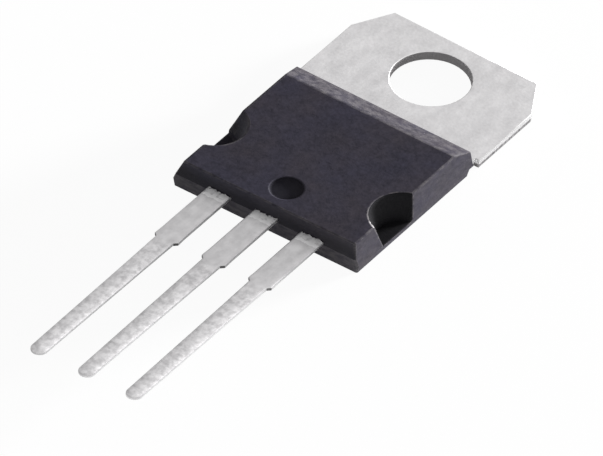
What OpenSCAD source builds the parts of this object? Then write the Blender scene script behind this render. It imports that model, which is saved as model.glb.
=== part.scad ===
// Power MOSFET in a moulded three-lead package with a metal mounting tab.
// Origin: centre of the mounting hole, on the back face that meets the heatsink.
// +X runs across the package, +Y from the leads to the tab's end, +Z up from the back.

/* [Tab] */
// Width of the metal tab
tab_w = 10.2; // [9.6:0.1:11]
// Thickness of the copper header, tab and pad alike
tab_t = 1.27; // [1:0.01:1.5]
// Length of tab that stands clear of the plastic
tab_len = 6.5; // [5.8:0.1:8]
// Width of the cut corners at the tab's end
corner_w = 1.05; // [0.3:0.05:2]
// Length of the cut corners along the tab's sides
corner_len = 1.9; // [0.5:0.05:2.5]
// Diameter of the mounting hole
hole_d = 3.8; // [3:0.05:4.2]
// Distance from the tab's end to the hole's centre
hole_inset = 2.75; // [2.6:0.05:3.2]
// Depth of the shear relief in each side of the tab, beside the plastic
relief_depth = 0.25; // [0.1:0.05:0.6]
// Length of the shear relief outside the plastic
relief_len = 0.5; // [0.2:0.05:0.8]

/* [Copper pad] */
// Width of the copper pad inside the plastic
pad_w = 7.6; // [6.8:0.1:7.8]
// Distance from the plastic's lead end to the pad's end
pad_inset = 3; // [2.7:0.1:3.6]
// Width of the mould-lock groove across the pad
groove_w = 0.5; // [0.3:0.05:0.8]
// Depth of the mould-lock groove
groove_depth = 0.2; // [0.1:0.05:0.4]
// Distance from the plastic's tab end to the middle of the groove
groove_inset = 0.8; // [0.7:0.05:1]

/* [Plastic body] */
// Width of the plastic at its parting line
body_w = 10.2; // [9.8:0.1:11]
// Length of the plastic at its parting line
body_len = 8.9; // [8.6:0.1:10]
// Height of the plastic's top face above the back
body_h = 4.5; // [4.3:0.05:5]
// Draft of the long sides above the parting line, in degrees
side_draft = 7; // [1:0.5:8]
// Draft of the lead end above the leads' underside, where the mould parts there, in degrees
end_draft = 4.5; // [1:0.5:8]
// Draft below the parting line, in degrees
back_draft = 3; // [1:0.5:8]
// Length of the bevel over the tab
bevel_len = 1.1; // [0.3:0.05:1.6]
// Height of the bevel over the tab
bevel_h = 1.1; // [0.3:0.05:1.6]
// Length of the plastic lip that lies on the tab
lip_len = 0.3; // [0.1:0.05:0.5]

/* [Side notches] */
// Radius of each side notch at the top face
notch_r = 1.5; // [1:0.05:1.6]
// Distance from the notch's axis out to the parting line's side, negative outside it
notch_shift = -0.07; // [-0.6:0.01:0]
// Distance from the lead end to the notch's axis
notch_inset = 3.1; // [2.6:0.05:4]
// Height of the plastic floor left under each notch
notch_floor = 0.9; // [0.4:0.05:1.2]

/* [Ejector mark] */
// Diameter of the round ejector mark
mark_d = 1.5; // [0.8:0.05:2]
// Depth of the ejector mark
mark_depth = 0.25; // [0.05:0.05:0.4]
// Distance from the lead end to the mark's centre
mark_inset = 1.45; // [1.2:0.05:3]

/* [Leads] */
// Distance between the leads' centre lines
lead_pitch = 2.54; // [2.3:0.01:2.7]
// Thickness of the leads
lead_t = 0.5; // [0.4:0.01:0.65]
// Height of the leads' underside above the back
lead_z = 2.4; // [2:0.05:2.6]
// Length of the leads outside the plastic
lead_len = 13.5; // [6:0.1:15]
// Width of the wide shoulder next to the plastic
shoulder_w = 1.25; // [1:0.05:1.6]
// Length of the wide shoulder outside the plastic
shoulder_len = 3.9; // [1:0.1:4.5]
// Width of the narrow part where the shoulder ends
lead_w = 0.95; // [0.7:0.01:0.98]
// Width of the narrow part at its tip
tip_w = 0.8; // [0.5:0.01:0.95]

/* [Bond posts] */
// Width of the gate and source bond posts
post_w = 2.3; // [1.6:0.05:2.4]
// Length of the bond posts
post_len = 1.5; // [1:0.05:1.7]
// Distance from the lead end to the bond posts and the drain lead's neck
post_inset = 0.6; // [0.3:0.05:0.7]
// Width of the neck that joins the drain lead to the pad
neck_w = 1.5; // [1:0.05:1.6]
// Flat length of the neck before its first bend
neck_flat = 0.3; // [0.2:0.05:0.4]
// Angle of the neck's rise from the pad to the leads
neck_angle = 50; // [45:1:65]

/* [Chip] */
// Width of the silicon chip
die_w = 4.6; // [3.6:0.1:5.5]
// Length of the silicon chip
die_len = 3.6; // [2.6:0.1:4]
// Thickness of the silicon chip
die_t = 0.28; // [0.2:0.01:0.4]
// Thickness of the solder under the chip
solder_t = 0.05; // [0.03:0.01:0.1]
// Width of the solder that shows round the chip
solder_margin = 0.15; // [0.05:0.05:0.3]

/* [Bond wires] */
// Diameter of the two source wires
source_wire_d = 0.38; // [0.25:0.01:0.5]
// Distance between the source wires on the chip
source_pitch = 1.1; // [0.8:0.05:1.4]
// Distance between the source wires on their post
post_pitch = 0.9; // [0.7:0.05:1]
// Diameter of the gate wire
gate_wire_d = 0.15; // [0.12:0.01:0.25]
// Distance from the chip's edges to the gate wire's bond
gate_inset = 0.45; // [0.35:0.05:0.8]
// Height of the source wires' loops above their post
source_rise = 0.8; // [0.6:0.05:1]
// Height of the gate wire's loop above its post
gate_rise = 0.5; // [0.3:0.05:0.8]

/* [Hidden] */
$fn = 64;

// A cut that must pass clean through a face runs this far past it
past = 1;

// Places along Y, counted from the mounting hole
tab_end_y = hole_inset;
body_y = tab_end_y - tab_len;
lead_end_y = body_y - body_len;
pad_start_y = body_y - lip_len;
pad_end_y = lead_end_y + pad_inset;
pad_mid_y = (pad_start_y + pad_end_y) / 2;
groove_y = body_y - groove_inset;
post_y = lead_end_y + post_inset;

// The header's stepped outline, as half widths
tab_half = tab_w / 2;
neck_half = tab_half - relief_depth;
pad_half = pad_w / 2;

// The parting line is level with the tab's top along the sides, and steps up to the leads'
// underside across the lead end. The plastic's corner offsets follow from its draft angles.
side_top_half = body_w / 2 - (body_h - tab_t) * tan(side_draft);
side_back_half = body_w / 2 - tab_t * tan(back_draft);
end_top_y = lead_end_y + (body_h - lead_z) * tan(end_draft);
end_back_y = lead_end_y + lead_z * tan(back_draft);

// The side notches taper with the same draft as the sides
notch_x = body_w / 2 - notch_shift;
notch_y = lead_end_y + notch_inset;
notch_floor_r = notch_r - (body_h - notch_floor) * tan(side_draft);

// Heights of the faces that the wires land on
lead_top = lead_z + lead_t;
die_z = tab_t + solder_t;
die_top = die_z + die_t;

// A wedge bond flattens the wire's end into a foot of these shares of its diameter
foot_len_ratio = 1.9;
foot_w_ratio = 1.3;
foot_h_ratio = 0.7;

// Closes the right half of an outline with its mirror image on the left.
function symmetric(right) =
    concat(right, [for (i = [len(right) - 1:-1:0]) [-right[i].x, right[i].y]]);

// Extrudes an outline drawn in Y and Z across the package, centred on X.
module across(width) {
    translate([-width / 2, 0, 0])
        rotate([90, 0, 90]) linear_extrude(width) children();
}

// Extrudes an outline drawn in X and Z along Y, from one place to another.
module along(from_y, to_y) {
    translate([0, to_y, 0])
        rotate([90, 0, 0]) linear_extrude(to_y - from_y) children();
}

// ---- Copper header with the drain lead ----

// The header's stamped outline: cut corners, tab sides, shear reliefs and pad.
module header_outline() {
    polygon(symmetric([
        [tab_half - corner_w, tab_end_y],
        [tab_half, tab_end_y - corner_len],
        [tab_half, body_y + relief_len],
        [neck_half, body_y + relief_len],
        [neck_half, pad_start_y],
        [pad_half, pad_start_y],
        [pad_half, pad_end_y]
    ]));
}

// V-groove across the pad that the plastic grips and that stops the solder.
module mould_lock_groove() {
    across(pad_w + 2 * past)
        polygon([
            [groove_y - groove_w / 2, tab_t],
            [groove_y, tab_t - groove_depth],
            [groove_y + groove_w / 2, tab_t],
            [groove_y, tab_t + past]
        ]);
}

module header_plate() {
    difference() {
        linear_extrude(tab_t) header_outline();
        translate([0, 0, -past]) cylinder(d = hole_d, h = tab_t + 2 * past);
        mould_lock_groove();
    }
}

// Double bend of thin strip that lifts the drain lead from the pad to the lead plane.
module drain_neck() {
    rise = lead_top - tab_t;
    bend_y = pad_end_y - neck_flat;
    top_bend_y = bend_y - rise / tan(neck_angle);
    mitre = lead_t * tan(neck_angle / 2);
    across(neck_w)
        polygon([
            [pad_end_y + lead_t, tab_t],
            [bend_y, tab_t],
            [top_bend_y, lead_top],
            [post_y, lead_top],
            [post_y, lead_z],
            [top_bend_y - mitre, lead_z],
            [bend_y - mitre, tab_t - lead_t],
            [pad_end_y + lead_t, tab_t - lead_t]
        ]);
}

// Outline of one lead: shoulder, 45 degree step, tapered strip and round tip. It starts
// inside the plastic, where it overlaps the post or neck that carries it.
module lead_outline() {
    root_y = post_y + lead_t;
    step = (shoulder_w - lead_w) / 2;
    tip_y = lead_end_y - lead_len + tip_w / 2;
    shoulder_y = lead_end_y - shoulder_len;
    polygon([
        [-shoulder_w / 2, root_y],
        [-shoulder_w / 2, shoulder_y],
        [-lead_w / 2, shoulder_y - step],
        [-tip_w / 2, tip_y],
        [tip_w / 2, tip_y],
        [lead_w / 2, shoulder_y - step],
        [shoulder_w / 2, shoulder_y],
        [shoulder_w / 2, root_y]
    ]);
    translate([0, tip_y]) circle(d = tip_w);
}

// Stamps a lead's outline out of the thin strip, in the lead plane.
module lead_strip() {
    translate([0, 0, lead_z]) linear_extrude(lead_t) children();
}

module header_with_drain_lead() {
    color("#c6c7c9") {
        header_plate();
        drain_neck();
        lead_strip() lead_outline();
    }
}

// ---- Gate and source leads ----

// Lead with a wide bond post that anchors it in the plastic.
module lead_with_post() {
    lead_strip() {
        lead_outline();
        translate([-post_w / 2, post_y]) square([post_w, post_len]);
    }
}

module gate_lead() {
    color("#bfc0c3") translate([-lead_pitch, 0, 0]) lead_with_post();
}

module source_lead() {
    color("#bfc0c3") translate([lead_pitch, 0, 0]) lead_with_post();
}

// ---- Chip ----

module centred_plate(width, length, thickness) {
    translate([-width / 2, pad_mid_y - length / 2, 0]) cube([width, length, thickness]);
}

module chip_solder() {
    color("#8e9195") translate([0, 0, tab_t])
        centred_plate(die_w + 2 * solder_margin, die_len + 2 * solder_margin, solder_t);
}

module mosfet_chip() {
    color("#4b5568") translate([0, 0, die_z]) centred_plate(die_w, die_len, die_t);
}

// ---- Bond wires ----

// Distance from a wire's first bond to its loop's top, for a round loop over span
// that peaks drop_a above the first bond and drop_b above the second.
function loop_peak(span, drop_a, drop_b) =
    let (lean = 1 - drop_b / drop_a,
         reach = span * span - drop_a * drop_b + drop_b * drop_b)
    reach / (span + sqrt(span * span - lean * reach));

// Flattened end of a wire, bonded to the face at the origin and lying along X.
module wedge_foot(wire_d) {
    foot = [foot_len_ratio, foot_w_ratio, foot_h_ratio] * wire_d;
    translate([-foot.x / 2, -foot.y / 2, 0]) cube(foot);
}

// Aluminium wire looped between two wedge bonds, up from the chip and down to a post.
module bond_wire(from, to, wire_d, rise) {
    span = norm([to.x - from.x, to.y - from.y]);
    heading = atan2(to.y - from.y, to.x - from.x);
    drop_b = rise - wire_d;
    drop_a = drop_b + to.z - from.z;
    peak = loop_peak(span, drop_a, drop_b);
    loop_r = (peak * peak + drop_a * drop_a) / (2 * drop_a);
    from_angle = 180 - atan2(loop_r - drop_a, peak);
    to_angle = atan2(loop_r - drop_b, span - peak);
    translate([from.x, from.y, 0]) rotate([0, 0, heading]) {
        translate([0, 0, from.z]) wedge_foot(wire_d);
        translate([span, 0, to.z]) wedge_foot(wire_d);
        translate([peak, 0, to.z + rise - wire_d / 2 - loop_r]) rotate([90, 0, 0])
            rotate_extrude(start = to_angle, angle = from_angle - to_angle)
                translate([loop_r, 0]) circle(d = wire_d);
    }
}

// One of the two source wires, side -1 for the inner and 1 for the outer.
module source_wire(side) {
    bond_wire(
        [source_pitch / 2 * (1 + side), pad_mid_y, die_top],
        [lead_pitch + side * post_pitch / 2, post_y + post_len / 2, lead_top],
        source_wire_d,
        source_rise
    );
}

module source_wire_inner() {
    color("#d9dadc") source_wire(-1);
}

module source_wire_outer() {
    color("#d9dadc") source_wire(1);
}

module gate_wire() {
    color("#d9dadc") bond_wire(
        [gate_inset - die_w / 2, pad_mid_y - die_len / 2 + gate_inset, die_top],
        [-lead_pitch, post_y + post_len / 2, lead_top],
        gate_wire_d,
        gate_rise
    );
}

// ---- Plastic body ----

// Section across the package: widest at the parting line, drafted above and below it.
module width_profile() {
    polygon(symmetric([
        [side_back_half, 0],
        [body_w / 2, tab_t],
        [side_top_half, body_h]
    ]));
}

// Section along the package: drafted lead end, bevel and lip over the tab.
module length_profile() {
    polygon([
        [end_back_y, 0],
        [lead_end_y, lead_z],
        [end_top_y, body_h],
        [body_y - bevel_len, body_h],
        [body_y, body_h - bevel_h],
        [body_y, tab_t],
        [pad_start_y, tab_t],
        [pad_start_y, 0]
    ]);
}

// Half-round clamping notch in each long side, tapered to draw out of the mould.
module side_notches() {
    for (side = [-1, 1])
        translate([side * notch_x, notch_y, notch_floor])
            cylinder(r1 = notch_floor_r, r2 = notch_r, h = body_h - notch_floor);
}

module ejector_mark() {
    translate([0, lead_end_y + mark_inset, body_h - mark_depth])
        cylinder(d = mark_d, h = mark_depth + past);
}

module mould_body() {
    color("#3a3a42") difference() {
        intersection() {
            along(lead_end_y - past, body_y + past) width_profile();
            across(body_w + 2 * past) length_profile();
        }
        side_notches();
        ejector_mark();
        header_with_drain_lead();
        gate_lead();
        source_lead();
        chip_solder();
        mosfet_chip();
        gate_wire();
        source_wire_inner();
        source_wire_outer();
    }
}

mould_body();
header_with_drain_lead();
gate_lead();
source_lead();
chip_solder();
mosfet_chip();
gate_wire();
source_wire_inner();
source_wire_outer();
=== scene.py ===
import math

import bmesh
import bpy
from mathutils import Matrix, Vector


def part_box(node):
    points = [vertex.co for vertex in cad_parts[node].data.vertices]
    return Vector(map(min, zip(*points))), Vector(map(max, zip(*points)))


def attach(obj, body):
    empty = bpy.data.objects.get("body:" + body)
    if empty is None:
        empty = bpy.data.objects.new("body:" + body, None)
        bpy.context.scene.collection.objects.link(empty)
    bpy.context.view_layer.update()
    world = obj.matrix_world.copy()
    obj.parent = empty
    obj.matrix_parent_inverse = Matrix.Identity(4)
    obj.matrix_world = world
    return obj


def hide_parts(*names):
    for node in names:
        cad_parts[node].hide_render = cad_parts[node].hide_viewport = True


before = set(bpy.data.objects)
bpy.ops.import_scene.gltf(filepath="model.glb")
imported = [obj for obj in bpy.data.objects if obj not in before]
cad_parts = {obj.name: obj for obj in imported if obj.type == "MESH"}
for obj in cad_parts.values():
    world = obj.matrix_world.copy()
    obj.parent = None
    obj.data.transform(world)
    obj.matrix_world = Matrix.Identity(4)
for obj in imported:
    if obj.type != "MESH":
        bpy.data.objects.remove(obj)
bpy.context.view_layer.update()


# ---- Copper header ----
# One stamping of thick copper strip: the tab with its hole, the pad that carries the
# chip, and the neck that rises to the drain lead. It is sheared out, so its outline is
# rolled over and its cut walls are streaked, and it is nickel plated to a pale satin.

# Every length is in metres, so one in millimetres is written as so many of these.
MM = 0.001
HOLE_RADIUS = 1.9 * MM
NECK_CUT_Y = -12.0 * MM
BARE_TAB_FROM_Y = -3.7 * MM
TAB_TOP_FROM_Z = 1.0 * MM
HEADER_ROLLOVER = 0.05 * MM
HEADER_BREAK_HEIGHT = 0.6 * MM
HOLE_SHADE_SHARE = 2.4
PLATING_PALE = (0.68, 0.67, 0.675, 1)
PLATING_DULL = (0.49, 0.482, 0.488, 1)
PLATING_RUBBED_AND_HIGHLIGHT = (0.8, 0.795, 0.79, 1)
BURNISHED_WALL = (0.76, 0.755, 0.76, 1)
BROKEN_WALL_AND_HOLE_SHADE = (0.12, 0.117, 0.12, 1)
TORN_RIDGE_AND_HOLE_SHADE = (0.35, 0.34, 0.345, 1)


def feed(tree, socket, value):
    """Links what changes over the surface to a socket, or sets a plain value on it."""
    if isinstance(value, bpy.types.NodeSocket):
        tree.links.new(value, socket)
    else:
        socket.default_value = value


def add_node(tree, kind, inputs=(), **settings):
    """A node with its settings made and its inputs fed, by name or number."""
    node = tree.nodes.new(kind)
    for name, value in settings.items():
        setattr(node, name, value)
    for name, value in dict(inputs).items():
        feed(tree, node.inputs[name], value)
    return node


def calc(tree, operation, *terms, clamp=False):
    """The result of one sum on sockets or plain numbers."""
    inputs = dict(enumerate(terms))
    node = add_node(tree, "ShaderNodeMath", inputs, operation=operation, use_clamp=clamp)
    return node.outputs[0]


def weighted(tree, *shares, base=0.0):
    """A base with several values added to it, each times its own weight."""
    total = base
    for value, weight in shares:
        total = calc(tree, "MULTIPLY_ADD", value, weight, total)
    return total


def one_minus(tree, value, clamp=False):
    return calc(tree, "SUBTRACT", 1.0, value, clamp=clamp)


def ramp(tree, value, slope, offset):
    """A straight change with a value, kept between 0 and 1."""
    return calc(tree, "MULTIPLY_ADD", value, slope, offset, clamp=True)


def contrast(tree, value, gain):
    """A value spread out about one half, and kept between 0 and 1."""
    return ramp(tree, calc(tree, "SUBTRACT", value, 0.5), slope=gain, offset=0.5)


def object_place(tree):
    """Where a point of the surface is, in metres from the mounting hole."""
    return add_node(tree, "ShaderNodeTexCoord").outputs["Object"]


def axes_of(tree, vector):
    return add_node(tree, "ShaderNodeSeparateXYZ", {0: vector}).outputs


def stretched(tree, vector, factors):
    """A place with each of its axes times its own factor."""
    inputs = {0: vector, 1: factors}
    return add_node(tree, "ShaderNodeVectorMath", inputs, operation="MULTIPLY").outputs[0]


def face_mark(tree, name):
    """The number that the mesh carries on each face under this name."""
    return add_node(tree, "ShaderNodeAttribute", attribute_name=name).outputs["Fac"]


def noise(tree, place, scale, detail=3.0, roughness=0.55):
    """Noise at a place, with its scale in waves for each metre."""
    inputs = {"Vector": place, "Scale": scale, "Detail": detail, "Roughness": roughness}
    return add_node(tree, "ShaderNodeTexNoise", inputs).outputs[0]


def open_group(name, inputs):
    """An empty group of nodes for one effect, and what comes out of its named inputs."""
    tree = bpy.data.node_groups.new(name, "ShaderNodeTree")
    for label, value in inputs.items():
        socket = tree.interface.new_socket(label, in_out="INPUT", socket_type="NodeSocketFloat")
        socket.default_value = value
    return tree, add_node(tree, "NodeGroupInput").outputs


def close_group(tree, outputs):
    """Gives the group its named outputs."""
    for label in outputs:
        tree.interface.new_socket(label, in_out="OUTPUT", socket_type="NodeSocketFloat")
    add_node(tree, "NodeGroupOutput", outputs)


# Fine grain of a blasted or plated surface: a close grain with sparse deeper pits.
grain_group, given = open_group(
    "fine_grain", {"Grain Size": 0.1 * MM, "Pitting": 0.3, "Contrast": 1.0}
)
place = object_place(grain_group)
scale = calc(grain_group, "DIVIDE", 1.0, given["Grain Size"])
close_grain = noise(grain_group, place, scale, detail=4.0, roughness=0.6)
pit_scale = calc(grain_group, "MULTIPLY", scale, 0.37)
pits = noise(grain_group, place, pit_scale, detail=2.0)
pits = ramp(grain_group, pits, slope=-6.0, offset=2.35)
pits = calc(grain_group, "MULTIPLY", pits, given["Pitting"])
close_group(grain_group, {
    "Height": calc(grain_group, "SUBTRACT", close_grain, pits),
    "Speckle": contrast(grain_group, close_grain, given["Contrast"]),
})

# Cloudy change of tone over a surface, drawn out along Y where the strip was rolled.
cloud_group, given = open_group(
    "cloudy_tone", {"Cloud Size": 1.0 * MM, "Stretch": 1.0, "Contrast": 1.0}
)
factors = add_node(cloud_group, "ShaderNodeCombineXYZ", {0: 1.0, 1: given["Stretch"], 2: 1.0})
place = stretched(cloud_group, object_place(cloud_group), factors.outputs[0])
scale = calc(cloud_group, "DIVIDE", 1.0, given["Cloud Size"])
close_group(cloud_group, {
    "Tone": contrast(cloud_group, noise(cloud_group, place, scale), given["Contrast"]),
})

# Rubbed edges: the faces marked as rounded are made pale, partly as rubbing and partly as a
# painted highlight along the edge, broken up so that it comes and goes.
rub_and_highlight_group, given = open_group("rubbed_edge_and_highlight", {"Break Size": 0.4 * MM, "Amount": 1.0})
scale = calc(rub_and_highlight_group, "DIVIDE", 1.0, given["Break Size"])
breaks = noise(rub_and_highlight_group, object_place(rub_and_highlight_group), scale)
breaks = ramp(rub_and_highlight_group, breaks, slope=3.4, offset=-1.2)
rub_and_highlight = calc(rub_and_highlight_group, "MULTIPLY", face_mark(rub_and_highlight_group, "rounded"), breaks)
close_group(rub_and_highlight_group, {"Rub And Highlight": calc(rub_and_highlight_group, "MULTIPLY", rub_and_highlight, given["Amount"])})

# Cut wall of a stamping: burnished where the punch slid, broken off rough at the foot,
# and lined from top to bottom. A face's mark is its share of the break's height; a mark
# above 1 lifts the dark broken band higher up the wall, which in the tab's hole is painted shade.
BREAK_FADE = 0.1 * MM
LINE_SQUEEZE = (1.0, 1.0, 0.06)
wall_group, given = open_group("sheared_wall", {"Underside": 0.0, "Break Height": 0.3 * MM})
place = object_place(wall_group)
wall = face_mark(wall_group, "sheared")
above = calc(wall_group, "SUBTRACT", axes_of(wall_group, place)["Z"], given["Underside"])
ragged = noise(wall_group, place, scale=4600.0, detail=4.0)
ragged = weighted(wall_group, (ragged, 0.44), base=0.78)
break_top = calc(wall_group, "MULTIPLY", ragged, given["Break Height"])
break_top = calc(wall_group, "MULTIPLY", break_top, wall)
broken_and_shade = calc(wall_group, "SUBTRACT", break_top, above)
broken_and_shade = calc(wall_group, "DIVIDE", broken_and_shade, BREAK_FADE, clamp=True)
drawn_up = stretched(wall_group, place, LINE_SQUEEZE)
lines = noise(wall_group, drawn_up, scale=9000.0, detail=2.0)
close_group(wall_group, {
    "Wall": wall,
    "Broken And Hole Shade": calc(wall_group, "MULTIPLY", broken_and_shade, wall, clamp=True),
    "Lines": calc(wall_group, "MULTIPLY", lines, wall),
})


def use_group(tree, group, values):
    """What comes out of one of these effects, placed in a material with its own values."""
    return add_node(tree, "ShaderNodeGroup", values, node_tree=group).outputs


def new_finish(name, shader_values):
    """A material of one Principled shader, with the values that are the same all over."""
    finish = bpy.data.materials.new(name)
    finish.use_nodes = True
    shader = finish.node_tree.nodes["Principled BSDF"]
    for label, value in shader_values.items():
        shader.inputs[label].default_value = value
    return finish, finish.node_tree, shader


def mix_colour(tree, share, first, second):
    inputs = {0: share, 6: first, 7: second}
    return add_node(tree, "ShaderNodeMix", inputs, data_type="RGBA").outputs[2]


def bump(tree, height, strength, depth):
    inputs = {"Height": height, "Strength": strength, "Distance": depth}
    return add_node(tree, "ShaderNodeBump", inputs).outputs["Normal"]


def coat(tree, shader, colour, roughness, normal):
    """Links what changes over the surface to the finish's shader."""
    for label, value in (("Base Color", colour), ("Roughness", roughness), ("Normal", normal)):
        tree.links.new(value, shader.inputs[label])


plated_copper, tree, shader = new_finish("plated_copper", {"Metallic": 1.0, "IOR": 2.0})
grain = use_group(tree, grain_group, {"Grain Size": 0.13 * MM, "Pitting": 0.12, "Contrast": 1.6})
cloud = use_group(tree, cloud_group, {"Cloud Size": 0.7 * MM, "Stretch": 0.7, "Contrast": 2.2})
rub_and_highlight = use_group(tree, rub_and_highlight_group, {"Break Size": 0.5 * MM, "Amount": 0.6})
wall = use_group(tree, wall_group, {"Underside": 0.0, "Break Height": HEADER_BREAK_HEIGHT})
tone = weighted(tree, (cloud["Tone"], 0.6), (grain["Speckle"], 0.4))
tone = mix_colour(tree, tone, PLATING_DULL, PLATING_PALE)
tone = mix_colour(tree, wall["Wall"], tone, BURNISHED_WALL)
torn_and_shade = mix_colour(tree, contrast(tree, wall["Lines"], 3.4), BROKEN_WALL_AND_HOLE_SHADE, TORN_RIDGE_AND_HOLE_SHADE)
tone = mix_colour(tree, wall["Broken And Hole Shade"], tone, torn_and_shade)
# The rolled edges are made pale, partly rubbing and partly painted highlight.
tone = mix_colour(tree, rub_and_highlight["Rub And Highlight"], tone, PLATING_RUBBED_AND_HIGHLIGHT)
satin = weighted(
    tree, (grain["Speckle"], 0.12), (wall["Wall"], -0.1), (wall["Broken And Hole Shade"], 0.3), base=0.4
)
relief = weighted(tree, (wall["Lines"], 1.6), base=grain["Height"])
coat(tree, shader, tone, satin, bump(tree, relief, strength=0.35, depth=0.01 * MM))

SAME_CORNER = 0.0001 * MM
SAME_PLANE = math.radians(0.3)
SHARP_EDGE = math.radians(25)
CREASE = math.radians(40)
# How pale the rounded faces are made on upright and on level edges: partly rubbing, partly
# painted highlight.
UPRIGHT_EDGE_RUB_AND_HIGHLIGHT, LEVEL_EDGE_RUB_AND_HIGHLIGHT = 1.4, 0.95


def merged_solid(node):
    """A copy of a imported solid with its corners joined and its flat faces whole."""
    solid = bmesh.new()
    solid.from_mesh(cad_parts[node].data)
    bmesh.ops.remove_doubles(solid, verts=solid.verts, dist=SAME_CORNER)
    bmesh.ops.dissolve_limit(
        solid, angle_limit=SAME_PLANE, verts=solid.verts, edges=solid.edges
    )
    solid.normal_update()
    return solid


def float_mark(solid, name):
    """The layer of numbers, one for each face, that a solid carries under this name."""
    layers = solid.faces.layers.float
    return layers.get(name) or layers.new(name)


def round_edges(solid, radius, steps, is_shown):
    """Rounds the sharp edges between shown corners, and marks how much each is rubbed pale,
    partly as a painted highlight.
    """
    rounded = float_mark(solid, "rounded")
    sharp = [
        edge for edge in solid.edges
        if len(edge.link_faces) == 2
        and edge.calc_face_angle() > SHARP_EDGE
        and all(is_shown(corner.co) for corner in edge.verts)
    ]
    made = bmesh.ops.bevel(
        solid, geom=sharp, offset=radius, offset_type="OFFSET", segments=steps,
        profile=0.5, affect="EDGES", clamp_overlap=True,
    )
    solid.normal_update()
    for face in made["faces"]:
        on_upright_edge = abs(face.normal.z) < 0.35
        face[rounded] = UPRIGHT_EDGE_RUB_AND_HIGHLIGHT if on_upright_edge else LEVEL_EDGE_RUB_AND_HIGHLIGHT


def finished_mesh(name, solid):
    """The piece's plain mesh, smooth across its rounded edges and flat on its flats."""
    mesh = bpy.data.meshes.new(name)
    solid.to_mesh(mesh)
    solid.free()
    mesh.shade_smooth()
    mesh.set_sharp_from_angle(angle=CREASE)
    holder = bpy.data.objects.new(name + "_work", mesh)
    bpy.context.scene.collection.objects.link(holder)
    even = holder.modifiers.new("even", "WEIGHTED_NORMAL")
    even.keep_sharp = True
    shaped = holder.evaluated_get(bpy.context.evaluated_depsgraph_get())
    result = bpy.data.meshes.new_from_object(shaped)
    bpy.data.objects.remove(holder)
    result.name = name
    return result


def set_piece(name, mesh, slot_name, *nodes):
    """Puts a finished mesh in the scene as the piece that stands for these solids."""
    piece = bpy.data.objects.new(name, mesh)
    bpy.context.scene.collection.objects.link(piece)
    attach(piece, "root")
    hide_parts(*nodes)


# The drain lead's strip is cut off the header here, and swept like the other two below.
header = merged_solid("header_with_drain_lead")
bmesh.ops.bisect_plane(
    header, geom=header.verts[:] + header.edges[:] + header.faces[:], dist=SAME_CORNER / 10,
    plane_co=(0, NECK_CUT_Y, 0), plane_no=(0, -1, 0), clear_outer=True,
)
open_edges = [edge for edge in header.edges if len(edge.link_faces) == 1]
bmesh.ops.holes_fill(header, edges=open_edges)
header.normal_update()
# The hole's wall gets a larger mark, so that the dark broken band covers it all: painted shade.
sheared = float_mark(header, "sheared")
for face in header.faces:
    spot = face.calc_center_median()
    is_upright = abs(face.normal.z) <= 0.1
    in_hole = math.hypot(spot.x, spot.y) < HOLE_RADIUS
    face[sheared] = (HOLE_SHADE_SHARE if in_hole else 1.0) if is_upright else 0.0


def is_on_bare_tab(corner):
    """Whether a corner of the header is on the tab's top, clear of the plastic."""
    return corner.y > BARE_TAB_FROM_Y and corner.z > TAB_TOP_FROM_Z


# The outline's rolled edges are made pale, partly as rubbing and partly as a painted highlight,
# apart from those that face the tab's end, which are left without it.
round_edges(header, HEADER_ROLLOVER, 3, is_on_bare_tab)
rounded = float_mark(header, "rounded")
for face in header.faces:
    faces_tab_end = face.normal.y > 0.2
    if face[rounded] and faces_tab_end:
        face[rounded] = 0.0
header_mesh = finished_mesh("header", header)
header_mesh.materials.append(plated_copper)


# ---- Leads ----
# Three strips stamped from the thin end of the same copper frame and tinned: a wide
# shoulder, a 45 degree step where the tie bar was cut away, and a tapered strip with a
# round tip. The drain lead grows out of the header's neck, the others out of their posts.

LEAD_PITCH = 2.54 * MM
LEAD_UNDERSIDE = 2.4 * MM
LEAD_BREAK_HEIGHT = 0.06 * MM
STEP_BREAK_SHARE = 8.0
STEP_FROM_Y = -17.2 * MM
DIP_LINE_Y = -16.6 * MM
DIP_FADE = 0.8 * MM
SCRUB_LINE_Y = -13.05 * MM
STAIN_LINE_Y = -12.85 * MM
CREEP_LINE_Y = -12.41 * MM
TIN_PALE = (0.72, 0.71, 0.717, 1)
TIN_DULL = (0.42, 0.413, 0.42, 1)
TIN_SCRUBBED = (0.84, 0.835, 0.84, 1)
TIN_RUBBED_AND_HIGHLIGHT = (0.7, 0.695, 0.7, 1)
LEAD_WALL = (0.74, 0.733, 0.74, 1)
RESIN_STAIN = (0.14, 0.13, 0.14, 1)
RESIN = (0.03, 0.027, 0.034, 1)

tinned_lead, tree, shader = new_finish("tinned_lead", {"Metallic": 1.0, "IOR": 2.0})
grain = use_group(tree, grain_group, {"Grain Size": 0.16 * MM, "Pitting": 0.35, "Contrast": 2.0})
cloud = use_group(tree, cloud_group, {"Cloud Size": 0.4 * MM, "Stretch": 0.8, "Contrast": 3.2})
streak = use_group(tree, cloud_group, {"Cloud Size": 0.22 * MM, "Stretch": 0.08, "Contrast": 1.6})
ripple = use_group(tree, cloud_group, {"Cloud Size": 0.28 * MM, "Stretch": 1.0, "Contrast": 4.5})
rub_and_highlight = use_group(tree, rub_and_highlight_group, {"Break Size": 0.6 * MM, "Amount": 0.4})
wall = use_group(
    tree, wall_group, {"Underside": LEAD_UNDERSIDE, "Break Height": LEAD_BREAK_HEIGHT}
)
tone = weighted(tree, (cloud["Tone"], 0.4), (streak["Tone"], 0.3), (grain["Speckle"], 0.3))

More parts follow.
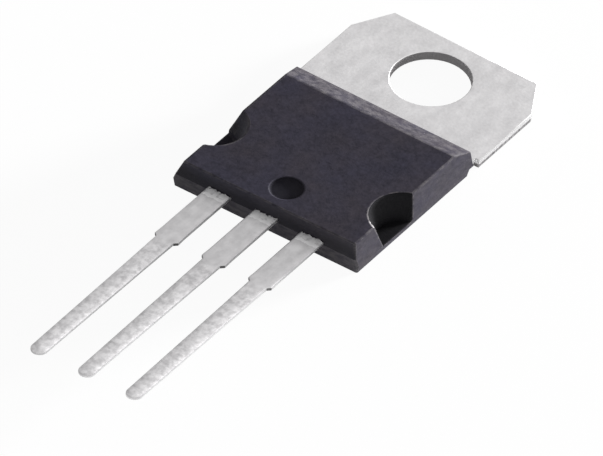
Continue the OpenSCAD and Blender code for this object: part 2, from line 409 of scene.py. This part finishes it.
# Beyond the step the strips were dipped, and the tin set in ripples.
place = object_place(tree)
along = axes_of(tree, place)["Y"]
dipped = calc(tree, "SUBTRACT", DIP_LINE_Y, along)
dipped = calc(tree, "DIVIDE", dipped, DIP_FADE, clamp=True)
swing = calc(tree, "SUBTRACT", ripple["Tone"], 0.5)
swing = calc(tree, "MULTIPLY", swing, dipped)
tone = contrast(tree, tone, weighted(tree, (dipped, 0.4), base=0.6))
tone = calc(tree, "MULTIPLY_ADD", swing, 0.48, tone, clamp=True)
tone = mix_colour(tree, tone, TIN_DULL, TIN_PALE)


def plastic_side(field, wander, line_y):
    """1 on the plastic's side of a line across the strip, which wanders with a noise."""
    wandered = calc(tree, "MULTIPLY_ADD", field, wander, along)
    return calc(tree, "GREATER_THAN", wandered, line_y)


# Outside the plastic a short length is scrubbed pale where the flash came off. Thin
# stains of resin are left on it, and at the very root the resin itself.
field = noise(tree, place, scale=3800.0)
scrubbed = calc(tree, "MULTIPLY", plastic_side(field, 0.3 * MM, SCRUB_LINE_Y), 0.6)
tone = mix_colour(tree, scrubbed, tone, TIN_SCRUBBED)
stained = ramp(tree, field, slope=9.0, offset=-4.7)
stained = calc(tree, "MULTIPLY", stained, plastic_side(field, 0.3 * MM, STAIN_LINE_Y))
tone = mix_colour(tree, calc(tree, "MULTIPLY", stained, 0.35), tone, RESIN_STAIN)
field = noise(tree, place, scale=5200.0, detail=2.0)
tone = mix_colour(tree, plastic_side(field, 0.5 * MM, CREEP_LINE_Y), tone, RESIN)
tone = mix_colour(tree, wall["Wall"], tone, LEAD_WALL)
tone = mix_colour(tree, wall["Broken And Hole Shade"], tone, BROKEN_WALL_AND_HOLE_SHADE)
# The rounded long edges are made pale, partly rubbing and partly painted highlight.
tone = mix_colour(tree, rub_and_highlight["Rub And Highlight"], tone, TIN_RUBBED_AND_HIGHLIGHT)
satin = weighted(tree, (cloud["Tone"], -0.1), (grain["Speckle"], 0.1), base=0.44)
relief = weighted(tree, (streak["Tone"], 0.8), (wall["Lines"], 0.8), base=grain["Height"])
coat(tree, shader, tone, satin, bump(tree, relief, strength=0.4, depth=0.012 * MM))

LEAD_SIZES = {
    "Centre Across": 0.0,
    "Underside": LEAD_UNDERSIDE,
    "Thickness": 0.5 * MM,
    "Inner Start": -10.55 * MM,
    "Inner End": -12.05 * MM,
    "Inner Width": 2.3 * MM,
    "Shoulder End": -16.55 * MM,
    "Shoulder Width": 1.25 * MM,
    "Strip Width": 0.95 * MM,
    "Tip Width": 0.8 * MM,
    "Tip End": -26.15 * MM,
    "Edge Round": 0.08 * MM,
    "Crown": 0.3,
    "Tie Bar Burr": 0.015 * MM,
    "Waver": 0.006 * MM,
}
lead_tree = bpy.data.node_groups.new("stamped_lead", "GeometryNodeTree")
lead_tree.is_modifier = True
sockets = lead_tree.interface
sockets.new_socket("Geometry", in_out="OUTPUT", socket_type="NodeSocketGeometry")
for label, size in LEAD_SIZES.items():
    socket = sockets.new_socket(label, in_out="INPUT", socket_type="NodeSocketFloat")
    socket.default_value = size
sockets.new_socket("Seed", in_out="INPUT", socket_type="NodeSocketInt")
sockets.new_socket("Finish", in_out="INPUT", socket_type="NodeSocketMaterial")
given = add_node(lead_tree, "NodeGroupInput").outputs

# Rings are counted along the strip: two on the inner part, then the shoulder, the step,
# the tapered strip and the tip, each taking its own run of rings.
SHOULDER_RINGS, STRIP_RINGS, TIP_RINGS = 40, 110, 10
SHOULDER_START = 2
STEP_START = SHOULDER_START + SHOULDER_RINGS
STRIP_START = STEP_START + 1
TIP_START = STRIP_START + STRIP_RINGS
RING_COUNT = TIP_START + TIP_RINGS + 1
CROWN_RINGS = STRIP_RINGS / 4
INNER_STEP = 0.01 * MM
TIP_TURN = math.radians(82)
TIP_THINNING = 0.45
ring = add_node(lead_tree, "GeometryNodeInputIndex").outputs[0]


def lead_calc(operation, *terms, clamp=False):
    return calc(lead_tree, operation, *terms, clamp=clamp)


def times(*factors):
    """Several values multiplied together."""
    product = factors[0]
    for factor in factors[1:]:
        product = lead_calc("MULTIPLY", product, factor)
    return product


def run_share(start, count):
    """How far a ring is along the run that starts at one ring and lasts count rings."""
    return lead_calc("DIVIDE", lead_calc("SUBTRACT", ring, start), count, clamp=True)


def blend_to(value, target, share):
    """A value moved towards its target by a share of the way."""
    return lead_calc("MULTIPLY_ADD", lead_calc("SUBTRACT", target, value), share, value)


in_inner, in_neck = run_share(0, 1), run_share(1, 1)
in_shoulder, in_step = run_share(SHOULDER_START, SHOULDER_RINGS), run_share(STEP_START, 1)
in_strip, in_tip = run_share(STRIP_START, STRIP_RINGS), run_share(TIP_START, TIP_RINGS)

inner_half = times(given["Inner Width"], 0.5)
shoulder_half = times(given["Shoulder Width"], 0.5)
strip_half = times(given["Strip Width"], 0.5)
tip_half = times(given["Tip Width"], 0.5)
step_depth = lead_calc("SUBTRACT", shoulder_half, strip_half)
step_end = lead_calc("SUBTRACT", given["Shoulder End"], step_depth)
taper_end = lead_calc("ADD", given["Tip End"], tip_half)
tip_angle = times(in_tip, TIP_TURN)

along = blend_to(given["Inner Start"], given["Inner End"], in_inner)
along = lead_calc("MULTIPLY_ADD", in_neck, -INNER_STEP, along)
along = blend_to(along, given["Shoulder End"], in_shoulder)
along = blend_to(along, step_end, in_step)
along = blend_to(along, taper_end, in_strip)
along = lead_calc("SUBTRACT", along, times(tip_half, lead_calc("SINE", tip_angle)))

half_width = blend_to(inner_half, shoulder_half, in_neck)
half_width = blend_to(half_width, strip_half, in_step)
half_width = blend_to(half_width, tip_half, in_strip)
half_width = times(half_width, lead_calc("COSINE", tip_angle))
burr = ramp(lead_tree, in_shoulder, slope=14.0, offset=-12.6)
burr = times(burr, one_minus(lead_tree, in_step))
half_width = lead_calc("MULTIPLY_ADD", burr, given["Tie Bar Burr"], half_width)
thinning = weighted(lead_tree, (times(in_tip, in_tip), -TIP_THINNING), base=1.0)

# A line of points becomes the strip's spine, and a rounded section is swept along it.
REFERENCE_WIDTH = 1.0 * MM
LEAD_CREASE = math.radians(32)
line = add_node(lead_tree, "GeometryNodeMeshLine", {"Count": RING_COUNT, "Offset": (0, 0, 0)})
inputs = {"Geometry": line.outputs["Mesh"]}
capture = add_node(lead_tree, "GeometryNodeCaptureAttribute", inputs)
for label, value in (
    ("Half Width", half_width),
    ("Thinning", thinning),
    ("Crown Share", run_share(STRIP_START, CROWN_RINGS)),
):
    capture.capture_items.new("FLOAT", label)
    lead_tree.links.new(value, capture.inputs[label])
kept = capture.outputs
place = add_node(lead_tree, "ShaderNodeCombineXYZ", {"Y": along}).outputs[0]
inputs = {"Geometry": kept["Geometry"], "Position": place}
spine = add_node(lead_tree, "GeometryNodeSetPosition", inputs)
spine = add_node(lead_tree, "GeometryNodeMeshToCurve", {"Mesh": spine.outputs[0]})
spine = add_node(
    lead_tree, "GeometryNodeSetCurveNormal", {"Curve": spine.outputs[0]}, mode="Z_UP"
)
section = add_node(
    lead_tree, "GeometryNodeCurvePrimitiveQuadrilateral",
    {"Width": REFERENCE_WIDTH, "Height": given["Thickness"]},
)
section = add_node(
    lead_tree, "GeometryNodeFilletCurve",
    {"Curve": section.outputs[0], "Count": 3, "Radius": given["Edge Round"]}, mode="POLY",
)
section = add_node(
    lead_tree, "GeometryNodeSubdivideCurve", {"Curve": section.outputs[0], "Cuts": 4}
)
swept = add_node(
    lead_tree, "GeometryNodeCurveToMesh",
    {"Curve": spine.outputs[0], "Profile Curve": section.outputs[0], "Fill Caps": True},
)

# Each ring is widened to its half width, crowned across the strip and thinned at the tip.
point = axes_of(lead_tree, add_node(lead_tree, "GeometryNodeInputPosition").outputs[0])
widened = lead_calc("DIVIDE", kept["Half Width"], REFERENCE_WIDTH / 2)
across = lead_calc("MULTIPLY_ADD", point["X"], widened, given["Centre Across"])
from_middle = lead_calc("DIVIDE", point["X"], REFERENCE_WIDTH / 2)
crown = times(from_middle, from_middle, given["Crown"], kept["Crown Share"])
flattened = times(kept["Thinning"], one_minus(lead_tree, crown))
middle = lead_calc("MULTIPLY_ADD", given["Thickness"], 0.5, given["Underside"])
up = lead_calc("MULTIPLY_ADD", point["Z"], flattened, middle)
inputs = {"X": across, "Y": point["Y"], "Z": up}
place = add_node(lead_tree, "ShaderNodeCombineXYZ", inputs).outputs[0]
shaped = add_node(
    lead_tree, "GeometryNodeSetPosition", {"Geometry": swept.outputs[0], "Position": place}
)

# The surface wavers a little along its length, each lead in its own way.
WAVES_PER_METRE = 900.0
SEED_STEP = 7.3
inputs = {0: place, "Scale": WAVES_PER_METRE}
place = add_node(lead_tree, "ShaderNodeVectorMath", inputs, operation="SCALE").outputs[0]
inputs = {0: place, 1: times(given["Seed"], SEED_STEP)}
place = add_node(lead_tree, "ShaderNodeVectorMath", inputs, operation="ADD").outputs[0]
inputs = {"Vector": place, "Scale": 1.0, "Detail": 1.5}
wave = add_node(lead_tree, "ShaderNodeTexNoise", inputs).outputs[0]
wave = times(lead_calc("SUBTRACT", wave, 1.0), given["Waver"])
outwards = add_node(lead_tree, "GeometryNodeInputNormal").outputs[0]
inputs = {0: outwards, "Scale": wave}
lift = add_node(lead_tree, "ShaderNodeVectorMath", inputs, operation="SCALE").outputs[0]
inputs = {"Geometry": shaped.outputs[0], "Offset": lift}
wavered = add_node(lead_tree, "GeometryNodeSetPosition", inputs)
whole = add_node(lead_tree, "GeometryNodeRealizeInstances", {"Geometry": wavered.outputs[0]})
inputs = {"Geometry": whole.outputs[0], "Material": given["Finish"]}
coated = add_node(lead_tree, "GeometryNodeSetMaterial", inputs)
add_node(lead_tree, "NodeGroupOutput", {0: coated.outputs[0]})


def mark_faces(mesh, name, share_of):
    """Gives each face of a mesh a number under this name."""
    mark = mesh.attributes.new(name, "FLOAT", "FACE")
    mark.data.foreach_set("value", [share_of(face) for face in mesh.polygons])


def edge_share(face):
    """1 on the faces that round the strip's long edges."""
    is_slanting = min(abs(face.normal.x), abs(face.normal.z)) > 0.45
    return 1.0 if is_slanting else 0.0


def wall_share(face):
    """1 on the strip's cut walls, and more at the step, where nearly all is broken off."""
    is_upright = abs(face.normal.z) <= 0.3
    at_step = face.normal.y < -0.35 and face.center.y > STEP_FROM_Y
    return (STEP_BREAK_SHARE if at_step else 1.0) if is_upright else 0.0


def stamped_lead(name, seed, **sizes):
    """A plain mesh of one lead, with the sizes that differ from the usual ones."""
    blank = bpy.data.objects.new(name + "_work", bpy.data.meshes.new(name + "_work"))
    bpy.context.scene.collection.objects.link(blank)
    stamp = blank.modifiers.new("stamp", "NODES")
    stamp.node_group = lead_tree
    wanted = {key.replace("_", " ").title(): value for key, value in sizes.items()}
    wanted.update({"Seed": seed, "Finish": tinned_lead})
    for socket in lead_tree.interface.items_tree:
        if socket.in_out == "INPUT" and socket.name in wanted:
            stamp[socket.identifier] = wanted[socket.name]
    made = blank.evaluated_get(bpy.context.evaluated_depsgraph_get())
    mesh = bpy.data.meshes.new_from_object(made)
    blank.modifiers.remove(stamp)
    bpy.data.objects.remove(blank)
    mesh.name = name
    mark_faces(mesh, "rounded", edge_share)
    mark_faces(mesh, "sheared", wall_share)
    mesh.shade_smooth()
    mesh.set_sharp_from_angle(angle=LEAD_CREASE)
    return mesh


NECK_WIDTH = 1.5 * MM
NECK_GAP = 0.002 * MM
drain_mesh = stamped_lead(
    "drain", 2, inner_start=NECK_CUT_Y + NECK_GAP, inner_width=NECK_WIDTH
)
gate_mesh = stamped_lead("gate_lead_strip", 1, centre_across=-LEAD_PITCH)
source_mesh = stamped_lead("source_lead_strip", 3, centre_across=LEAD_PITCH)

# The header and its drain lead are one piece, with the tinned finish on the lead's faces.
joined = bmesh.new()
joined.from_mesh(header_mesh)
joined.from_mesh(drain_mesh)
joined.faces.ensure_lookup_table()
for face in joined.faces[len(header_mesh.polygons):]:
    face.material_index = 1
joined.to_mesh(header_mesh)
joined.free()
header_mesh.materials.append(tinned_lead)
set_piece("header_with_drain", header_mesh, "plated_copper", "header_with_drain_lead")
set_piece("gate_strip", gate_mesh, "plated_lead", "gate_lead")
set_piece("source_strip", source_mesh, "plated_lead", "source_lead")


# ---- Chip and its solder ----
# The chip is a thin square of silicon, metallised on top, soft soldered to the pad. Its
# top is aluminium over the cells, cut by the gate's ring and pad, and none of it shows.

SOLDER_GREY = (0.42, 0.43, 0.44, 1)
SOLDER_BRIGHT = (0.6, 0.6, 0.61, 1)
SILICON_BLUE = (0.045, 0.052, 0.075, 1)
SILICON_GREY = (0.06, 0.06, 0.07, 1)
CELL_METAL = (0.62, 0.61, 0.58, 1)
BARE_RIM = 0.12 * MM
GATE_INSET = 0.45 * MM
GATE_HALF = 0.33 * MM
GATE_GAP = 0.02 * MM
TOP_FILM = 0.01 * MM
CELLS_PER_METRE = 14000.0


def coat_solid(node, finish):
    """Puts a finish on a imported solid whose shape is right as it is."""
    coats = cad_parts[node].data.materials
    coats.clear()
    coats.append(finish)


solder, tree, shader = new_finish("soft_solder", {"Metallic": 1.0, "IOR": 2.0})
grain = use_group(tree, grain_group, {"Grain Size": 0.07 * MM, "Pitting": 0.5})
cloud = use_group(tree, cloud_group, {"Cloud Size": 0.6 * MM, "Stretch": 1.0, "Contrast": 2.2})
tone = mix_colour(tree, cloud["Tone"], SOLDER_GREY, SOLDER_BRIGHT)
satin = weighted(tree, (grain["Speckle"], 0.25), base=0.3)
coat(tree, shader, tone, satin, bump(tree, grain["Height"], strength=0.5, depth=0.01 * MM))
coat_solid("chip_solder", solder)

chip_low, chip_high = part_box("mosfet_chip")
chip_middle = (chip_low + chip_high) / 2
chip_half = (chip_high - chip_low) / 2
silicon, tree, shader = new_finish("silicon", {"IOR": 2.2})
cloud = use_group(tree, cloud_group, {"Cloud Size": 0.9 * MM, "Stretch": 1.0, "Contrast": 1.0})
place = object_place(tree)
inputs = {"Vector": place, "Location": -chip_middle}
centred = add_node(tree, "ShaderNodeMapping", inputs, vector_type="POINT")
spot = axes_of(tree, centred.outputs[0])
from_side = calc(tree, "SUBTRACT", chip_half.x, calc(tree, "ABSOLUTE", spot["X"]))
from_end = calc(tree, "SUBTRACT", chip_half.y, calc(tree, "ABSOLUTE", spot["Y"]))
from_rim = calc(tree, "MINIMUM", from_side, from_end)
gate_x = calc(tree, "SUBTRACT", spot["X"], GATE_INSET - chip_half.x)
gate_y = calc(tree, "SUBTRACT", spot["Y"], GATE_INSET - chip_half.y)
from_gate = calc(
    tree, "MAXIMUM", calc(tree, "ABSOLUTE", gate_x), calc(tree, "ABSOLUTE", gate_y)
)
in_gate_gap = calc(tree, "COMPARE", from_gate, GATE_HALF, GATE_GAP)
on_top = calc(tree, "GREATER_THAN", spot["Z"], chip_half.z - TOP_FILM)
metal = calc(tree, "GREATER_THAN", from_rim, BARE_RIM)
metal = calc(tree, "MULTIPLY", metal, on_top)
metal = calc(tree, "MULTIPLY", metal, one_minus(tree, in_gate_gap))
bare = mix_colour(tree, cloud["Tone"], SILICON_BLUE, SILICON_GREY)
tone = mix_colour(tree, metal, bare, CELL_METAL)
satin = weighted(tree, (metal, 0.22), base=0.12)
inputs = {"Vector": place, "Scale": CELLS_PER_METRE}
cells = add_node(tree, "ShaderNodeTexVoronoi", inputs).outputs["Distance"]
relief = calc(tree, "MULTIPLY", cells, metal)
coat(tree, shader, tone, satin, bump(tree, relief, strength=0.2, depth=0.004 * MM))
tree.links.new(metal, shader.inputs["Metallic"])
coat_solid("mosfet_chip", silicon)


# ---- Bond wires ----
# Drawn aluminium wire, looped up from the chip and down to the posts, and flattened
# where the wedge pressed it on. Two thick ones carry the source, a thin one the gate.

WIRE_DULL = (0.74, 0.74, 0.75, 1)
WIRE_BRIGHT = (0.86, 0.86, 0.86, 1)

bond_aluminium, tree, shader = new_finish("bond_aluminium", {"Metallic": 1.0, "IOR": 1.5})
grain = use_group(tree, grain_group, {"Grain Size": 0.04 * MM, "Pitting": 0.2})
cloud = use_group(tree, cloud_group, {"Cloud Size": 0.3 * MM, "Stretch": 0.3, "Contrast": 1.8})
tone = mix_colour(tree, cloud["Tone"], WIRE_DULL, WIRE_BRIGHT)
satin = weighted(tree, (grain["Speckle"], 0.15), base=0.22)
coat(tree, shader, tone, satin, bump(tree, grain["Height"], strength=0.25, depth=0.005 * MM))
for wire in ("gate_wire", "source_wire_inner", "source_wire_outer"):
    coat_solid(wire, bond_aluminium)


# ---- Plastic body ----
# Black epoxy moulding compound, transfer moulded round the frame and all that it holds.
# The mould parts level with the header's top along the sides, and at the leads' underside
# across the lead end. Its cavity is blasted, which leaves a satin grain and soft edges.

BODY_TOP = 4.5 * MM
BODY_EDGE = 0.15 * MM
LEAD_END_FROM_Y = -12.45 * MM
TOP_FADE = 1.3 * MM
SIDE_PARTING = 1.27 * MM
LEAD_END_PARTING = LEAD_UNDERSIDE
PARTING_HALF = 0.02 * MM
COMPOUND_DARK = (0.0035, 0.0028, 0.0085, 1)
COMPOUND_WORN = (0.040, 0.037, 0.059, 1)
COMPOUND_WARM = (0.046, 0.039, 0.051, 1)
COMPOUND_DRAGGED_AND_LIT = (0.118, 0.109, 0.114, 1)
COMPOUND_GLINT = (0.5, 0.48, 0.49, 1)
COMPOUND_BLASTED_AND_SHADED = (0.004, 0.0038, 0.0052, 1)

compound, tree, shader = new_finish(
    "moulding_compound", {"IOR": 1.5, "Specular IOR Level": 0.22}
)
grain = use_group(tree, grain_group, {"Grain Size": 0.13 * MM, "Pitting": 0.55, "Contrast": 2.4})
patch = use_group(tree, cloud_group, {"Cloud Size": 0.35 * MM, "Stretch": 1.0, "Contrast": 3.0})
cloud = use_group(tree, cloud_group, {"Cloud Size": 1.6 * MM, "Stretch": 1.0, "Contrast": 2.0})
warm = use_group(tree, cloud_group, {"Cloud Size": 2.2 * MM, "Stretch": 1.0, "Contrast": 3.0})
rub_and_highlight = use_group(tree, rub_and_highlight_group, {"Break Size": 0.4 * MM, "Amount": 0.5})
tone = weighted(tree, (cloud["Tone"], 0.25), (grain["Speckle"], 0.45), (patch["Tone"], 0.3))
worn = mix_colour(tree, warm["Tone"], COMPOUND_WORN, COMPOUND_WARM)
tone = mix_colour(tree, tone, COMPOUND_DARK, worn)

# A rubbed face is made pale in its grain, partly as drag marks and partly as painted light
# and painted highlight, and past a full share it turns grey, a painted glint.
dragged_and_lit = weighted(tree, (grain["Speckle"], 0.9), base=0.6)
dragged_and_lit = calc(tree, "MULTIPLY", rub_and_highlight["Rub And Highlight"], dragged_and_lit, clamp=True)
tone = mix_colour(tree, dragged_and_lit, tone, COMPOUND_DRAGGED_AND_LIT)
glint = calc(tree, "SUBTRACT", rub_and_highlight["Rub And Highlight"], 1.0, clamp=True)
tone = mix_colour(tree, glint, tone, COMPOUND_GLINT)

# Painted shade: the blasted faces are darkened, and the lead end keeps this shade low down
# and loses it towards the top.
spot = axes_of(tree, object_place(tree))
at_end = calc(tree, "LESS_THAN", spot["Y"], LEAD_END_FROM_Y)
from_top = calc(tree, "SUBTRACT", BODY_TOP, spot["Z"])
near_top = one_minus(tree, calc(tree, "DIVIDE", from_top, TOP_FADE), clamp=True)
still_shaded = one_minus(tree, calc(tree, "MULTIPLY", at_end, near_top))
blasted_and_shaded = calc(tree, "MULTIPLY", face_mark(tree, "blasted_and_shaded"), still_shaded)
tone = mix_colour(tree, blasted_and_shaded, tone, COMPOUND_BLASTED_AND_SHADED)
satin = weighted(
    tree, (grain["Speckle"], 0.16), (cloud["Tone"], 0.1), (blasted_and_shaded, 0.3), base=0.52
)
parting = weighted(tree, (at_end, LEAD_END_PARTING - SIDE_PARTING), base=SIDE_PARTING)
seam = calc(tree, "COMPARE", spot["Z"], parting, PARTING_HALF)
relief = calc(tree, "ADD", grain["Height"], seam)
coat(tree, shader, tone, satin, bump(tree, relief, strength=0.45, depth=0.014 * MM))

# What follows is in millimetres. Each box, from its low to its high corner and with X
# counted out from the middle, holds corners of the cavities: the chip's and the posts',
# the leads' mouths, and the one under the lip.
CAVITY_BOXES = (
    ((-1, -12.5, -1), (3.4, -4.3, 4.2)),
    ((-1, -13, 2.3), (4.0, -12.3, 3.0)),
    ((-1, -4.1, -1), (6, 3, 1.35)),
)
SIDE_FROM_X = 4.6
FOOT_BELOW_Z = 2.3
RIM_FROM_Z = 4.1
TOP_FROM_Z = 4.45
MARK_AXIS, MARK_RADIUS, MARK_RIM_RADIUS = (0, -11.2), 0.76, 1.0
NOTCH_AXIS, NOTCH_RADIUS, NOTCH_RIM_RADIUS = (5.17, -9.55), 1.52, 1.7
NOTCH_RIM_BELOW_Y = -9.7
# A painted glint where the source's notch meets the side.
GLINT_AXIS, GLINT_RADIUS = (4.7, -10.98), 0.4
# How dark these faces are painted, as blast and painted shade; the source's notch is shaded
# darker than the gate's.
GATE_NOTCH_SHADE, SOURCE_NOTCH_SHADE, MARK_AND_END_SHADE = 0.4, 1.0, 0.6
# How pale these faces are made: partly drag marks, partly painted light.
BEVEL_DRAG_AND_LIGHT, FOOT_DRAG_AND_LIGHT, SIDE_DRAG_AND_LIGHT = 0.95, 0.9, 0.25
# Painted highlight on the notch's rounded edges, strongest on its rim towards the lead end, and
# the painted glint.
NOTCH_RUB_AND_HIGHLIGHT, NOTCH_RIM_HIGHLIGHT, GLINT_RUB = 1.3, 2.3, 5.0


def is_outside(corner):
    """Whether a corner of the body is on its outer skin, clear of the metal."""
    spot = (abs(corner.x) / MM, corner.y / MM, corner.z / MM)
    return not any(
        all(low < at < high for low, at, high in zip(lowest, spot, highest))
        for lowest, highest in CAVITY_BOXES
    )


def from_axis(x, y, axis):
    """How far a spot is from an upright axis."""
    return math.hypot(x - axis[0], y - axis[1])


def blast_and_shade_share(face):
    """How much a face is blasted and darkened with painted shade: the notches, the ejector mark
    and the lead end.
    """
    spot, facing = face.calc_center_median() / MM, face.normal
    on_side = abs(facing.x) > 0.99 and abs(spot.x) > SIDE_FROM_X
    on_top = spot.z >= TOP_FROM_Z
    in_notch = from_axis(abs(spot.x), spot.y, NOTCH_AXIS) < NOTCH_RADIUS
    if in_notch and not on_side and not on_top:
        return SOURCE_NOTCH_SHADE if spot.x > 0 else GATE_NOTCH_SHADE
    in_mark = from_axis(spot.x, spot.y, MARK_AXIS) < MARK_RADIUS and not on_top
    on_lead_end = facing.y < -0.9 and spot.z > FOOT_BELOW_Z
    return MARK_AND_END_SHADE if in_mark or on_lead_end else 0.0


def drag_and_light_share(face):
    """How much a face is made pale, partly as drag marks and partly as painted light: the bevel,
    the lead end's foot and the sides.
    """
    spot, facing = face.calc_center_median() / MM, face.normal
    on_bevel = facing.z > 0.3 and facing.y > 0.3
    on_foot = facing.y < -0.9 and spot.z < FOOT_BELOW_Z
    on_side = abs(facing.x) > 0.9
    return BEVEL_DRAG_AND_LIGHT if on_bevel else FOOT_DRAG_AND_LIGHT if on_foot else SIDE_DRAG_AND_LIGHT if on_side else 0.0


def rim_rub_and_highlight(face, rub_and_highlight):
    """How much a face is rubbed, set anew round the ejector mark and the source's notch: none on
    the mark's rim, a painted highlight on the notch's edges, and a painted glint at one corner of
    it.
    """
    spot = face.calc_center_median() / MM
    on_rim = spot.z > RIM_FROM_Z
    if on_rim and from_axis(spot.x, spot.y, MARK_AXIS) < MARK_RIM_RADIUS:
        return 0.0
    is_rounded = rub_and_highlight > FOOT_DRAG_AND_LIGHT
    if not is_rounded or from_axis(spot.x, spot.y, NOTCH_AXIS) >= NOTCH_RIM_RADIUS:
        return rub_and_highlight
    if on_rim and from_axis(spot.x, spot.y, GLINT_AXIS) < GLINT_RADIUS:
        return GLINT_RUB
    return NOTCH_RIM_HIGHLIGHT if on_rim and spot.y < NOTCH_RIM_BELOW_Y else NOTCH_RUB_AND_HIGHLIGHT


body = merged_solid("mould_body")
blast_and_shade_mark = float_mark(body, "blasted_and_shaded")
rounded = float_mark(body, "rounded")
for face in body.faces:
    face[blast_and_shade_mark] = blast_and_shade_share(face)
    face[rounded] = drag_and_light_share(face)
round_edges(body, BODY_EDGE, 4, is_outside)
for face in body.faces:
    face[rounded] = rim_rub_and_highlight(face, face[rounded])
body_mesh = finished_mesh("moulded_body", body)
body_mesh.materials.append(compound)
set_piece("moulded_body", body_mesh, "moulding_compound", "mould_body")


# ---- Table, light and camera ----
# The part lies on a plain white table in a softly lit room, which in reflections alone
# is dimmer on the gate's side. One soft lamp stands low beyond the tab's end.

WHITE = (1, 1, 1, 1)
TABLE_WHITE = (0.93, 0.93, 0.93, 1)
TABLE_HALF = 0.5
TABLE_DROP = 0.01 * MM

table_mesh = bpy.data.meshes.new("table")
sheet = bmesh.new()
bmesh.ops.create_grid(sheet, x_segments=2, y_segments=2, size=TABLE_HALF)
bmesh.ops.translate(sheet, verts=sheet.verts, vec=(0, 0, -TABLE_DROP))
sheet.to_mesh(table_mesh)
sheet.free()
table = bpy.data.objects.new("table", table_mesh)
bpy.context.scene.collection.objects.link(table)


def ray_kinds(tree):
    """1 for a ray straight from the camera, and 1 for one that gloss or glass sends on."""
    ray = add_node(tree, "ShaderNodeLightPath").outputs
    sent_on = calc(tree, "MAXIMUM", ray["Is Glossy Ray"], ray["Is Transmission Ray"])
    return ray["Is Camera Ray"], sent_on


table_white = bpy.data.materials.new("table_white")
table_white.use_nodes = True
tree = table_white.node_tree
tree.nodes.clear()
direct, sent_on = ray_kinds(tree)
paper = add_node(tree, "ShaderNodeBsdfDiffuse", {"Color": TABLE_WHITE})
glow = add_node(tree, "ShaderNodeEmission", {"Color": WHITE, "Strength": 1.0})
share = weighted(tree, (sent_on, 0.15), (direct, 0.94))
inputs = {0: share, 1: paper.outputs[0], 2: glow.outputs[0]}
blend = add_node(tree, "ShaderNodeMixShader", inputs)
add_node(tree, "ShaderNodeOutputMaterial", {0: blend.outputs[0]})
table_mesh.materials.append(table_white)

world = bpy.data.worlds.new("soft_room")
bpy.context.scene.world = world
world.use_nodes = True
tree = world.node_tree
tree.nodes.clear()
direct, sent_on = ray_kinds(tree)
way = axes_of(tree, add_node(tree, "ShaderNodeTexCoord").outputs["Generated"])
gate_side = ramp(tree, way["X"], slope=-1.25, offset=-0.125)
sent_on = calc(tree, "MULTIPLY", sent_on, weighted(tree, (gate_side, -0.45), base=1.0))
seen = calc(tree, "MAXIMUM", direct, sent_on)
strength = weighted(tree, (seen, 0.6), base=0.4)
room = add_node(tree, "ShaderNodeBackground", {"Color": WHITE, "Strength": strength})
add_node(tree, "ShaderNodeOutputWorld", {0: room.outputs[0]})

LAMP_SPOT = Vector((260, 510, 130)) * MM
LAMP_AIM = Vector((0, -11, 0)) * MM
lamp_data = bpy.data.lights.new("tab_end_lamp", "AREA")
lamp_data.shape = "DISK"
lamp_data.size = 160 * MM
lamp_data.energy = 9.0
lamp = bpy.data.objects.new("tab_end_lamp", lamp_data)
lamp.location = LAMP_SPOT
lamp.rotation_mode = "QUATERNION"
lamp.rotation_quaternion = (LAMP_AIM - LAMP_SPOT).to_track_quat("-Z", "Y")
bpy.context.scene.collection.objects.link(lamp)

# The view is drawn out sideways. A camera that leans along its own line of sight gives
# this: its sideways axis is tipped towards that line, so widths come out longer.
CAMERA_SPOT = Vector((135.96, -236.11, 657.54)) * MM
AZIMUTH, ELEVATION, ROLL = (math.radians(angle) for angle in (30.957, 68.278, 5.689))
STRETCH = 1.4366
LENS = 660.3
out = math.cos(ELEVATION)
back = Vector((math.sin(AZIMUTH) * out, -math.cos(AZIMUTH) * out, math.sin(ELEVATION)))
level_right = Vector((math.cos(AZIMUTH), math.sin(AZIMUTH), 0))
level_up = back.cross(level_right)
right = math.cos(ROLL) * level_right + math.sin(ROLL) * level_up
upward = math.cos(ROLL) * level_up - math.sin(ROLL) * level_right
leaning = (right + math.sqrt(STRETCH**2 - 1) * back) / STRETCH
camera_data = bpy.data.cameras.new("camera")
camera_data.lens = LENS
camera_data.sensor_width = 36
camera_data.clip_start = 10 * MM
camera_data.clip_end = 10
camera = bpy.data.objects.new("camera", camera_data)
mount = bpy.data.objects.new("camera_mount", None)
for thing in (mount, camera):
    bpy.context.scene.collection.objects.link(thing)
camera.parent = mount
camera.matrix_parent_inverse = Matrix((
    (leaning.x, upward.x, back.x, CAMERA_SPOT.x),
    (leaning.y, upward.y, back.y, CAMERA_SPOT.y),
    (leaning.z, upward.z, back.z, CAMERA_SPOT.z),
    (0, 0, 0, 1),
))
bpy.context.scene.camera = camera
bpy.context.scene.view_settings.view_transform = "Standard"
